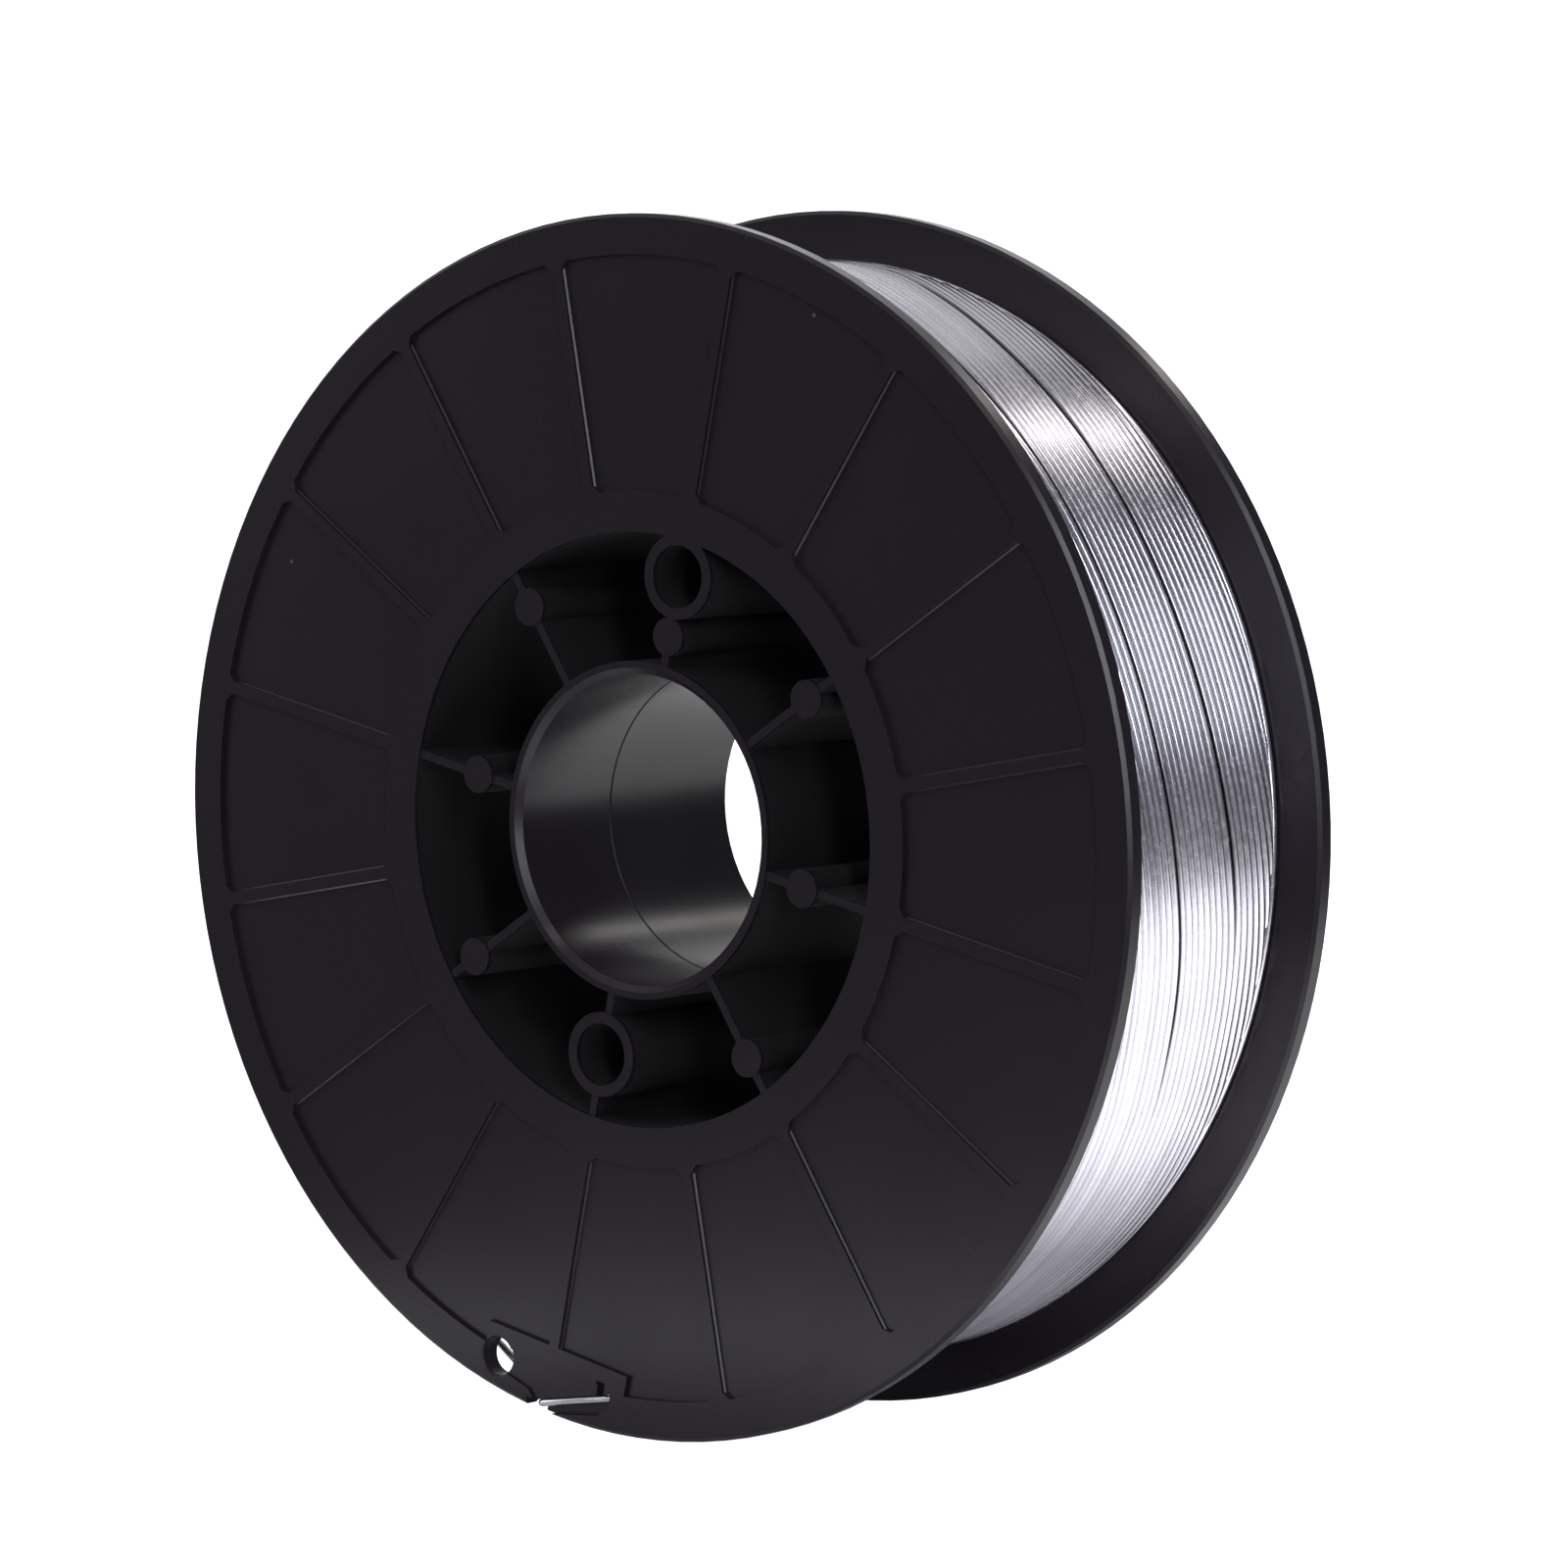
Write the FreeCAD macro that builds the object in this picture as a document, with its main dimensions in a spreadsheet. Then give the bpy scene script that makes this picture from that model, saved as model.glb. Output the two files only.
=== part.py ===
import FreeCAD, Part
import math
import os
import Sketcher

# Welding wire spool: two moulded halves that meet in the hub, and the wire wound between them.
# The pieces are drawn about +Z, with the rear flange's outer face at zero height, the front
# flange with the wire clip on top and the clip towards -Y. At the end the spool is stood on
# its two rims: front flange towards -Y, and the origin on the floor below its middle.

Vector = FreeCAD.Vector
doc = FreeCAD.newDocument("wire_spool")
sheet = doc.addObject("Spreadsheet::Sheet", "Sizes")

driving = (
    ("flange_radius", 100.0, "outside of both flanges"),
    ("overall_width", 54.0, "over the two flanges' outer faces"),
    ("flange_thick", 3.5, "flange, from its outer face to the face that guides the wire"),
    ("rim_bevel", 0.6, "bevel of the flange rims"),
    ("rim_band", 6.6, "plain raised band along the rim"),
    ("hub_band", 6.6, "plain raised band round the hub opening"),
    ("panel_depth", 0.8, "how far the sunk panels lie below the bands"),
    ("panel_rib", 2.0, "flush rib between two panels"),
    ("panel_count", 16, "sunk panels in each flange"),
    ("panel_corner", 1.3, "cut across the corners of a panel"),
    ("seam_depth", 23.0, "from the front face down to the seam between the halves"),
    ("hub_opening", 48.6, "inside radius of the barrel"),
    ("barrel_wall", 2.4, "wall of the barrel that carries the wire"),
    ("bore_radius", 25.5, "spindle bore"),
    ("bore_wall", 2.1, "wall of the bore tube"),
    ("bore_chamfer", 1.0, "lead-in at both ends of the bore"),
    ("spoke_count", 8, "spokes between bore tube and barrel"),
    ("spoke_thick", 1.4, "thickness of a spoke"),
    ("spoke_drop", 0.3, "how far the spokes' edges lie below the hub face"),
    ("boss_radius", 3.1, "pillar on a spoke"),
    ("boss_corner_reach", 42.3, "from the axis to the pillars on the slanting spokes"),
    ("boss_side_reach", 35.3, "from the axis to the pillars on the level spokes"),
    ("boss_top_reach", 32.5, "from the axis to the pillar below the upper drive hole"),
    ("drive_hole", 5.15, "radius of a drive hole"),
    ("drive_wall", 1.8, "wall round a drive hole"),
    ("drive_top_inset", 6.1, "upper drive hole, in from the inside of the barrel"),
    ("drive_low_inset", 10.5, "lower drive hole, in from the inside of the barrel"),
    ("clip_inset", 11.4, "from the rim in to the straight edge of the clip pad"),
    ("clip_left", 14.5, "clip pad, left of the middle"),
    ("clip_right", 16.2, "clip pad, right of the middle"),
    ("clip_hole", 3.2, "radius of the hole for the wire end"),
    ("clip_hole_side", 11.6, "wire hole, left of the middle of the clip"),
    ("clip_hole_inset", 6.0, "wire hole, in from the lowest point of the rim"),
    ("trough_depth", 0.5, "shallow trough from the wire hole to the slit"),
    ("trough_inset", 8.1, "trough's straight side, in from the rim"),
    ("trough_left", 9.6, "trough's left end, left of the middle"),
    ("trough_low", 3.9, "trough's left end, lower corner, in from the rim"),
    ("trough_bend_side", 4.0, "bend in the trough's lower side, left of the middle"),
    ("trough_bend_inset", 2.8, "bend in the trough's lower side, in from the rim"),
    ("slit_side", 10.1, "slit at the trough's end, right of the middle"),
    ("slit_width", 1.8, "width of the slit"),
    ("slit_inset", 8.8, "upper end of the slit, in from the rim"),
    ("groove_depth", 1.6, "groove that holds the wire end"),
    ("groove_end_side", 13.4, "blind end of the groove, right of the middle"),
    ("groove_end_top", 7.4, "blind end of the groove, upper corner, in from the rim"),
    ("groove_end_low", 5.4, "blind end of the groove, lower corner, in from the rim"),
    ("groove_belly_side", 11.5, "lowest corner of the groove, right of the middle"),
    ("groove_belly_inset", 3.1, "lowest corner of the groove, in from the rim"),
    ("notch_left", 4.1, "rim notch, left side"),
    ("notch_right", 0.5, "rim notch, right side"),
    ("notch_depth", 1.5, "depth of the rim notch"),
    ("notch_lip", 0.7, "where the groove opens into the notch, in from the rim"),
    ("wire_inset", 8.0, "from the rim in to the outside of the winding"),
    ("wire_gap", 0.1, "between the winding and the plastic"),
    ("wire_thick", 1.2, "diameter of the wire"),
    ("tail_bury", 0.7, "how deep the wire end's middle lies in the outer layer"),
    ("tail_side", 1.9, "where the wire end turns over the rim, left of the middle"),
    ("tail_inset", 0.8, "where the wire end turns over the rim, in from the rim"),
    ("tail_bend", 1.2, "bend radius of the wire end"),
    ("tail_inside", 0.8, "from the flange's inner face to the middle of the wire"),
    ("tail_outside", 0.9, "from the front face down to the middle of the wire"),
    ("tail_turn", 20.7, "degrees between the wire end in its groove and the level"),
    ("tail_run", 16.0, "wire end from the rim to its tip"),
    ("rest_turn", 11.8, "degrees by which the standing spool is turned about its axis"),
)
for row, (name, size, note) in enumerate(driving, start=1):
    sheet.set("A%d" % row, name)
    sheet.set("B%d" % row, str(size))
    sheet.set("C%d" % row, note)
    sheet.setAlias("B%d" % row, name)
doc.recompute()


def sized(text):
    # a bare size name becomes a reference to its cell
    words = {name: "Sizes." + name for name, size, note in driving}
    return " ".join(words.get(word, word) for word in text.split())


def amount(text):
    return float(sheet.evalExpression(sized(text)))


def originPart(body, role):
    return [part for part in body.Origin.OriginFeatures if part.Role == role][0]


def sketchOn(body, name, role="XY_Plane", height=None):
    sketch = body.newObject("Sketcher::SketchObject", name)
    sketch.AttachmentSupport = [(originPart(body, role), "")]
    sketch.MapMode = "FlatFace"
    if height:
        sketch.setExpression("AttachmentOffset.Base.z", sized(height))
    return sketch


def bind(sketch, kind, ends, text):
    # a dimension that follows the sheet; one of zero puts the point on the axis instead
    size = amount(text)
    geometry, point = ends[-2:] if kind in ("DistanceX", "DistanceY") else (None, None)
    if kind == "DistanceX" and abs(size) < 1e-9:
        sketch.addConstraint(Sketcher.Constraint("PointOnObject", geometry, point, -2))
        return
    if kind == "DistanceY" and abs(size) < 1e-9:
        sketch.addConstraint(Sketcher.Constraint("PointOnObject", geometry, point, -1))
        return
    index = sketch.addConstraint(Sketcher.Constraint(kind, *ends, size))
    sketch.setExpression("Constraints[%d]" % index, sized(text))


def closedOutline(sketch, points):
    spots = [Vector(amount(x), amount(y), 0) for x, y in points]
    first = sketch.GeometryCount
    count = len(points)
    for i in range(count):
        sketch.addGeometry(Part.LineSegment(spots[i], spots[(i + 1) % count]))
    for i in range(count):
        sketch.addConstraint(Sketcher.Constraint("Coincident", first + i, 2, first + (i + 1) % count, 1))
    for i, (x, y) in enumerate(points):
        bind(sketch, "DistanceX", (-1, 1, first + i, 1), x)
        bind(sketch, "DistanceY", (-1, 1, first + i, 1), y)


def circleAt(sketch, x, y, radius):
    centre = Vector(amount(x), amount(y), 0)
    index = sketch.addGeometry(Part.Circle(centre, Vector(0, 0, 1), amount(radius)))
    bind(sketch, "Radius", (index,), radius)
    bind(sketch, "DistanceX", (-1, 1, index, 3), x)
    bind(sketch, "DistanceY", (-1, 1, index, 3), y)


def sectorOutline(sketch, inner, outer, rib, count):
    # one window between two ribs: two arcs about the axis and two sides parallel to the ribs
    near, far, half = amount(inner), amount(outer), amount(rib) / 2
    step = 360 / amount(count)
    turn = FreeCAD.Rotation(Vector(0, 0, 1), step)
    flip = FreeCAD.Rotation(Vector(0, 0, 1), step / 2)

    def onFirst(radius):
        return Vector((radius ** 2 - half ** 2) ** 0.5, half, 0)

    def onSecond(radius):
        return turn.multVec(Vector((radius ** 2 - half ** 2) ** 0.5, -half, 0))

    def arc(radius):
        middle = flip.multVec(Vector(radius, 0, 0))
        return Part.Arc(onFirst(radius), middle, onSecond(radius))

    side = sketch.addGeometry(Part.LineSegment(onFirst(near), onFirst(far)))
    outerArc = sketch.addGeometry(arc(far))
    other = sketch.addGeometry(Part.LineSegment(onSecond(far), onSecond(near)))
    innerArc = sketch.addGeometry(arc(near))
    for a, b, c, d in ((side, 2, outerArc, 1), (outerArc, 2, other, 1), (other, 2, innerArc, 2), (innerArc, 1, side, 1)):
        sketch.addConstraint(Sketcher.Constraint("Coincident", a, b, c, d))
    for curve, radius in ((outerArc, outer), (innerArc, inner)):
        sketch.addConstraint(Sketcher.Constraint("Coincident", curve, 3, -1, 1))
        bind(sketch, "Radius", (curve,), radius)
    sketch.addConstraint(Sketcher.Constraint("Horizontal", side))
    bind(sketch, "DistanceY", (-1, 1, side, 1), rib + " / 2")
    bind(sketch, "Distance", (-1, 1, other), rib + " / 2")
    bind(sketch, "Angle", (side, 1, other, 2), "360 deg / " + count)


def revolve(body, name, sketch):
    feature = body.newObject("PartDesign::Revolution", name)
    feature.Profile = sketch
    feature.ReferenceAxis = (sketch, ["V_Axis"])
    feature.Angle = 360
    return feature


def pad(body, name, sketch, length, down=False):
    feature = body.newObject("PartDesign::Pad", name)
    feature.Profile = sketch
    feature.setExpression("Length", sized(length))
    feature.Reversed = down
    return feature


def pocket(body, name, sketch, depth=None, up=False):
    feature = body.newObject("PartDesign::Pocket", name)
    feature.Profile = sketch
    if depth:
        feature.setExpression("Length", sized(depth))
    else:
        feature.Type = "ThroughAll"
    feature.Reversed = up
    return feature


def repeatRound(body, name, feature, count):
    pattern = body.newObject("PartDesign::PolarPattern", name)
    pattern.Originals = [feature]
    pattern.Axis = (originPart(body, "Z_Axis"), [""])
    pattern.Angle = 360
    pattern.setExpression("Occurrences", sized(count))
    body.Tip = pattern
    return pattern


def bevelEdges(body, name, base, size, wanted):
    doc.recompute()
    edges = ["Edge%d" % (i + 1) for i, edge in enumerate(base.Shape.Edges) if wanted(edge)]
    feature = body.newObject("PartDesign::Chamfer", name)
    feature.Base = (base, edges)
    feature.setExpression("Size", sized(size))
    body.Tip = feature
    return feature


def isOnRim(edge):
    return isinstance(edge.Curve, Part.Circle) and abs(edge.Curve.Radius - amount("flange_radius")) < 1e-4


def isPanelCorner(edge):
    # upright edges where a panel's sides meet its arcs
    if len(edge.Vertexes) < 2:
        return False
    low, high = edge.Vertexes[0].Point, edge.Vertexes[1].Point
    upright = abs(low.x - high.x) < 1e-6 and abs(low.y - high.y) < 1e-6
    tall = abs(abs(low.z - high.z) - amount("panel_depth")) < 1e-6
    return upright and tall


seam = "overall_width - seam_depth"
# pillars as places in the hub: four on the slanting spokes, two level, one over the bore
slant = "boss_corner_reach * cos( 45 deg )"
pillars = (
    (slant, slant),
    ("-1 * " + slant, slant),
    ("-1 * " + slant, "-1 * " + slant),
    (slant, "-1 * " + slant),
    ("boss_side_reach", "0"),
    ("-1 * boss_side_reach", "0"),
    ("0", "boss_top_reach"),
)
driveHoles = (
    ("0", "hub_opening - drive_top_inset"),
    ("0", "-1 * hub_opening + drive_low_inset"),
)
tailReach = "( flange_radius - tail_inset )"


def hubDetails(body, face):
    # windows between the spokes, pillars, drive sleeves and panels, seen from the half's outer face
    upper = "overall_width" if face == "front" else seam
    outward = "overall_width" if face == "front" else None
    window = sketchOn(body, face + "_window", height=upper)
    sectorOutline(window, "bore_radius + bore_wall", "hub_opening", "spoke_thick", "spoke_count")
    cut = pocket(body, face + "_window_cut", window)
    repeatRound(body, face + "_windows", cut, "spoke_count")

    trim = sketchOn(body, face + "_spoke_trim", height=outward)
    circleAt(trim, "0", "0", "bore_radius + bore_wall")
    circleAt(trim, "0", "0", "hub_opening")
    pocket(body, face + "_spoke_trim_cut", trim, "spoke_drop", up=face == "rear")

    length = "seam_depth" if face == "front" else seam
    posts = sketchOn(body, face + "_pillar_plan", height=outward)
    for x, y in pillars:
        circleAt(posts, x, y, "boss_radius")
    pad(body, face + "_pillars", posts, length, down=face == "front")
    sleeves = sketchOn(body, face + "_sleeve_plan", height=outward)
    for x, y in driveHoles:
        circleAt(sleeves, x, y, "drive_hole + drive_wall")
    pad(body, face + "_sleeves", sleeves, length, down=face == "front")
    bores = sketchOn(body, face + "_drive_plan", height=upper)
    for x, y in driveHoles:
        circleAt(bores, x, y, "drive_hole")
    pocket(body, face + "_drive_holes", bores)

    panel = sketchOn(body, face + "_panel", height=outward)
    sectorOutline(panel, "hub_opening + hub_band", "flange_radius - rim_band", "panel_rib", "panel_count")
    sunk = pocket(body, face + "_panel_cut", panel, "panel_depth", up=face == "rear")
    pattern = repeatRound(body, face + "_panels", sunk, "panel_count")
    return bevelEdges(body, face + "_panel_corners", pattern, "panel_corner", isPanelCorner)


def makeRearHalf():
    body = doc.addObject("PartDesign::Body", "rear_half")
    body.Label = "rear_half"
    profile = sketchOn(body, "rear_profile", "XZ_Plane")
    closedOutline(profile, (
        ("bore_radius + bore_chamfer", "0"),
        ("flange_radius", "0"),
        ("flange_radius", "flange_thick"),
        ("hub_opening + barrel_wall", "flange_thick"),
        ("hub_opening + barrel_wall", seam),
        ("bore_radius", seam),
        ("bore_radius", "bore_chamfer"),
    ))
    revolve(body, "rear_turned", profile)
    last = hubDetails(body, "rear")
    bevelEdges(body, "rear_rim", last, "rim_bevel", isOnRim)
    return body


def makeFrontHalf():
    body = doc.addObject("PartDesign::Body", "front_half")
    body.Label = "front_half"
    profile = sketchOn(body, "front_profile", "XZ_Plane")
    closedOutline(profile, (
        ("bore_radius", seam),
        ("hub_opening + barrel_wall", seam),
        ("hub_opening + barrel_wall", "overall_width - flange_thick"),
        ("flange_radius", "overall_width - flange_thick"),
        ("flange_radius", "overall_width"),
        ("bore_radius + bore_chamfer", "overall_width"),
        ("bore_radius", "overall_width - bore_chamfer"),
    ))
    revolve(body, "front_turned", profile)
    last = hubDetails(body, "front")
    bevelEdges(body, "front_rim", last, "rim_bevel", isOnRim)
    wireClip(body)
    return body


def wireClip(body):
    # pad flush with the rim, hole, trough and slit, and the groove with its notch in the rim
    def up(inset):
        return "-1 * flange_radius + " + inset

    plate = sketchOn(body, "clip_plan", height="overall_width")
    closedOutline(plate, (
        ("-1 * clip_left", up("clip_inset")),
        ("-1 * clip_left", up("clip_hole_inset")),
        ("clip_right", up("clip_hole_inset")),
        ("clip_right", up("clip_inset")),
    ))
    pad(body, "clip_pad", plate, "panel_depth", down=True)
    trough = sketchOn(body, "trough_plan", height="overall_width")
    closedOutline(trough, (
        ("-1 * trough_left", up("trough_inset")),
        ("slit_side", up("trough_inset")),
        ("slit_side", up("groove_end_low")),
        ("-1 * tail_side", up("tail_inset")),
        ("-1 * trough_bend_side", up("trough_bend_inset")),
        ("-1 * trough_left", up("trough_low")),
    ))
    pocket(body, "trough", trough, "trough_depth")
    groove = sketchOn(body, "groove_plan", height="overall_width")
    closedOutline(groove, (
        ("-1 * notch_left", up("notch_lip")),
        ("groove_end_side", up("groove_end_top")),
        ("groove_end_side", up("groove_end_low")),
        ("groove_belly_side", up("groove_belly_inset")),
        ("-1 * notch_right", up("-1 * notch_right")),
        ("-1 * notch_left", up("-1 * notch_right")),
    ))
    pocket(body, "groove", groove, "groove_depth")
    openings = sketchOn(body, "clip_openings_plan", height="overall_width")
    circleAt(openings, "-1 * clip_hole_side", up("clip_hole_inset"), "clip_hole")
    closedOutline(openings, (
        ("slit_side", up("slit_inset")),
        ("slit_side", up("groove_end_low")),
        ("slit_side + slit_width", up("groove_end_low")),
        ("slit_side + slit_width", up("slit_inset")),
    ))
    closedOutline(openings, (
        ("-1 * notch_left", up("notch_depth")),
        ("-1 * notch_right", up("notch_depth")),
        ("-1 * notch_right", up("-1 * notch_right")),
        ("-1 * notch_left", up("-1 * notch_right")),
    ))
    pocket(body, "clip_openings", openings)


def makeWinding():
    body = doc.addObject("PartDesign::Body", "wire_winding")
    body.Label = "wire_winding"
    profile = sketchOn(body, "winding_profile", "XZ_Plane")
    closedOutline(profile, (
        ("hub_opening + barrel_wall + wire_gap", "flange_thick + wire_gap"),
        ("flange_radius - wire_inset", "flange_thick + wire_gap"),
        ("flange_radius - wire_inset", "overall_width - flange_thick - wire_gap"),
        ("hub_opening + barrel_wall + wire_gap", "overall_width - flange_thick - wire_gap"),
    ))
    revolve(body, "winding_turned", profile)

    # the wire end leaves the outer layer behind the front flange, turns over the rim in the
    # notch and comes back along the groove: two bent runs that meet halfway up the notch
    low = "overall_width - flange_thick - tail_inside"
    high = "overall_width - tail_outside"
    middle = "overall_width - ( flange_thick + tail_inside + tail_outside ) / 2"
    section = sketchOn(body, "tail_section", height=middle)
    circleAt(section, "-1 * tail_side", "-1 * " + tailReach, "wire_thick / 2")
    layer = "( flange_radius - wire_inset - tail_bury )"
    free = "sqrt( tail_side ^ 2 + " + tailReach + " ^ 2 - " + layer + " ^ 2 )"
    turn = "acos( " + free + " / hypot( tail_side ; " + tailReach + " ) )"
    leaving = "90 deg - atan( tail_side / " + tailReach + " ) + " + turn
    tailRun(body, "tail_behind", section, leaving, free, low, middle, 1)
    tailRun(body, "tail_in_groove", section, "tail_turn * 1 deg", "tail_run", high, middle, -1)
    return body


def tailRun(body, name, section, heading, run, level, middle, side):
    # from the middle height of the notch to its level, round a bend, then straight on
    path = sketchOn(body, name + "_path", "XZ_Plane")
    path.AttachmentOffset = FreeCAD.Placement(Vector(), FreeCAD.Rotation(Vector(0, 1, 0), 90))
    path.setExpression("AttachmentOffset.Base.x", sized("-1 * tail_side"))
    path.setExpression("AttachmentOffset.Base.z", sized(tailReach))
    path.setExpression("AttachmentOffset.Rotation.Angle", sized(heading))
    bend, far = amount("tail_bend"), amount(run)
    height, start = amount(level), amount(middle)
    turnFrom, turnTo = Vector(0, height + side * bend, 0), Vector(bend, height, 0)
    circle = Part.Circle(Vector(bend, height + side * bend, 0), Vector(0, 0, 1), bend)
    rise = path.addGeometry(Part.LineSegment(Vector(0, start, 0), turnFrom))
    if side > 0:
        arc = path.addGeometry(Part.ArcOfCircle(circle, math.pi, 1.5 * math.pi))
        arcIn, arcOut = 1, 2
    else:
        arc = path.addGeometry(Part.ArcOfCircle(circle, 0.5 * math.pi, math.pi))
        arcIn, arcOut = 2, 1
    along = path.addGeometry(Part.LineSegment(turnTo, Vector(far, height, 0)))
    path.addConstraint(Sketcher.Constraint("PointOnObject", rise, 1, -2))
    path.addConstraint(Sketcher.Constraint("Vertical", rise))
    path.addConstraint(Sketcher.Constraint("Tangent", rise, 2, arc, arcIn))
    path.addConstraint(Sketcher.Constraint("Tangent", along, 1, arc, arcOut))
    path.addConstraint(Sketcher.Constraint("Horizontal", along))
    bind(path, "DistanceY", (-1, 1, rise, 1), middle)
    bind(path, "Radius", (arc,), "tail_bend")
    bind(path, "DistanceX", (-1, 1, along, 2), run)
    bind(path, "DistanceY", (-1, 1, along, 2), level)
    pipe = body.newObject("PartDesign::AdditivePipe", name)
    pipe.Profile = section
    pipe.Spine = (path, ["Edge1", "Edge2", "Edge3"])
    body.Tip = pipe


pieces = [makeRearHalf(), makeFrontHalf(), makeWinding()]
standing = (
    "placement( vector( 0 ; overall_width / 2 ; flange_radius ) ; "
    "rotation( vector( 1 ; 0 ; 0 ) ; 90 ) * rotation( vector( 0 ; 0 ; 1 ) ; -1 * rest_turn ) )"
)
for piece in pieces:
    piece.setExpression("Placement", sized(standing))
doc.recompute()

failed = [thing.Name for thing in doc.Objects if {"Invalid", "Error"} & set(thing.State)]
if failed:
    raise RuntimeError("these objects failed: " + ", ".join(failed))
for piece in pieces:
    if piece.Shape.isNull() or not piece.Shape.isValid() or len(piece.Shape.Solids) != 1:
        raise RuntimeError(piece.Label + " is not one valid solid")

os.makedirs("parts", exist_ok=True)
for piece in pieces:
    piece.Shape.exportStep("parts/%s.step" % piece.Label)
    box = piece.Shape.BoundBox
    print("%-14s volume %.0f mm3, x %.2f to %.2f, y %.2f to %.2f, z %.2f to %.2f" % (
        piece.Label, piece.Shape.Volume, box.XMin, box.XMax, box.YMin, box.YMax, box.ZMin, box.ZMax))
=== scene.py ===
import math
import random

import bmesh
import bpy
from mathutils import Matrix, Quaternion, Vector


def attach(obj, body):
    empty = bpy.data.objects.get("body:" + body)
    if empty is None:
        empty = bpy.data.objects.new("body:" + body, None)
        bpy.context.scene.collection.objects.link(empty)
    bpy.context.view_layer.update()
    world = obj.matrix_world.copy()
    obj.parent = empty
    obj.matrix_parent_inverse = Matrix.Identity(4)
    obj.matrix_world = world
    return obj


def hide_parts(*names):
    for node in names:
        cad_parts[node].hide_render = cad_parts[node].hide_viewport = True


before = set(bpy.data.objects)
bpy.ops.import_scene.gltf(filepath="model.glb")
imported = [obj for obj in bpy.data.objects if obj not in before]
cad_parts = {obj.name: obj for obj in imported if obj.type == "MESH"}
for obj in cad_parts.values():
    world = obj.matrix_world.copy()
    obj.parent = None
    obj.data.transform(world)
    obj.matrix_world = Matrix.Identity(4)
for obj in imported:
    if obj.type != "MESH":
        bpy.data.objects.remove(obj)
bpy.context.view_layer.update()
scene = bpy.context.scene
scene.view_settings.view_transform = "Standard"

# the spool stands on its rims: its axis runs along Y, the front flange faces -Y,
# and it is turned about the axis so that the clip lies a little to the left of the foot
spool = {
    "axisHeight": 0.100,
    "halfWidth": 0.027,
    "restTurn": math.radians(11.8),
}


def onSpool(x, y, height):
    # a point in millimetres seen from the front, spool upright, height from the rear face
    turn = spool["restTurn"]
    across = x * math.cos(turn) + y * math.sin(turn)
    up = -x * math.sin(turn) + y * math.cos(turn)
    return Vector((across / 1000, spool["halfWidth"] - height / 1000, spool["axisHeight"] + up / 1000))


def fromAxis(point):
    # distance from the spool's axis
    return math.hypot(point.x, point.z - spool["axisHeight"])


def addPiece(name, mesh, material, node):
    obj = bpy.data.objects.new(name, mesh)
    scene.collection.objects.link(obj)
    mesh.materials.clear()
    mesh.materials.append(material)
    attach(obj, "root")
    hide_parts(node)
    return obj


# what the materials are built with; a noise lies mostly between these two values
noiseRange = {"low": 0.3, "high": 0.7}
# and between these two it goes from a material's dark tone to its light one
toneRange = {"low": 0.35, "high": 0.65}


def newGroup(name, inputs, outputs):
    group = bpy.data.node_groups.new(name, "ShaderNodeTree")
    for label, default in inputs.items():
        socket = group.interface.new_socket(name=label, in_out="INPUT", socket_type="NodeSocketFloat")
        socket.default_value = default
    for label in outputs:
        group.interface.new_socket(name=label, in_out="OUTPUT", socket_type="NodeSocketFloat")
    return group, group.nodes.new("NodeGroupInput"), group.nodes.new("NodeGroupOutput")


def addNode(tree, kind, settings=None, values=None):
    node = tree.nodes.new(kind)
    for key, value in (settings or {}).items():
        setattr(node, key, value)
    for key, value in (values or {}).items():
        node.inputs[key].default_value = value
    return node


def useGroup(tree, group, values):
    node = tree.nodes.new("ShaderNodeGroup")
    node.node_tree = group
    for key, value in values.items():
        node.inputs[key].default_value = value
    return node


def toneRamp(tree, source, dark, light):
    # from the dark tone to the light one over a noise
    node = tree.nodes.new("ShaderNodeValToRGB")
    stops = ((toneRange["low"], dark), (toneRange["high"], light))
    for element, (spot, colour) in zip(node.color_ramp.elements, stops):
        element.position = spot
        element.color = (*colour, 1.0)
    tree.links.new(source, node.inputs["Fac"])
    return node.outputs["Color"]


def spread(tree, source, low, high):
    # a noise laid over the range from low to high
    values = {"From Min": noiseRange["low"], "From Max": noiseRange["high"], "To Min": low, "To Max": high}
    node = addNode(tree, "ShaderNodeMapRange", values=values)
    tree.links.new(source, node.inputs["Value"])
    return node.outputs["Result"]


def mixColour(tree, mask, first, second):
    node = addNode(tree, "ShaderNodeMix", {"data_type": "RGBA"})
    tree.links.new(mask, node.inputs["Factor"])
    tree.links.new(first, node.inputs["A"])
    node.inputs["B"].default_value = (*second, 1.0)
    return node.outputs["Result"]


def newMaterial(name):
    material = bpy.data.materials.new(name)
    material.use_nodes = True
    tree = material.node_tree
    return material, tree, tree.nodes["Principled BSDF"]


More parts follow.
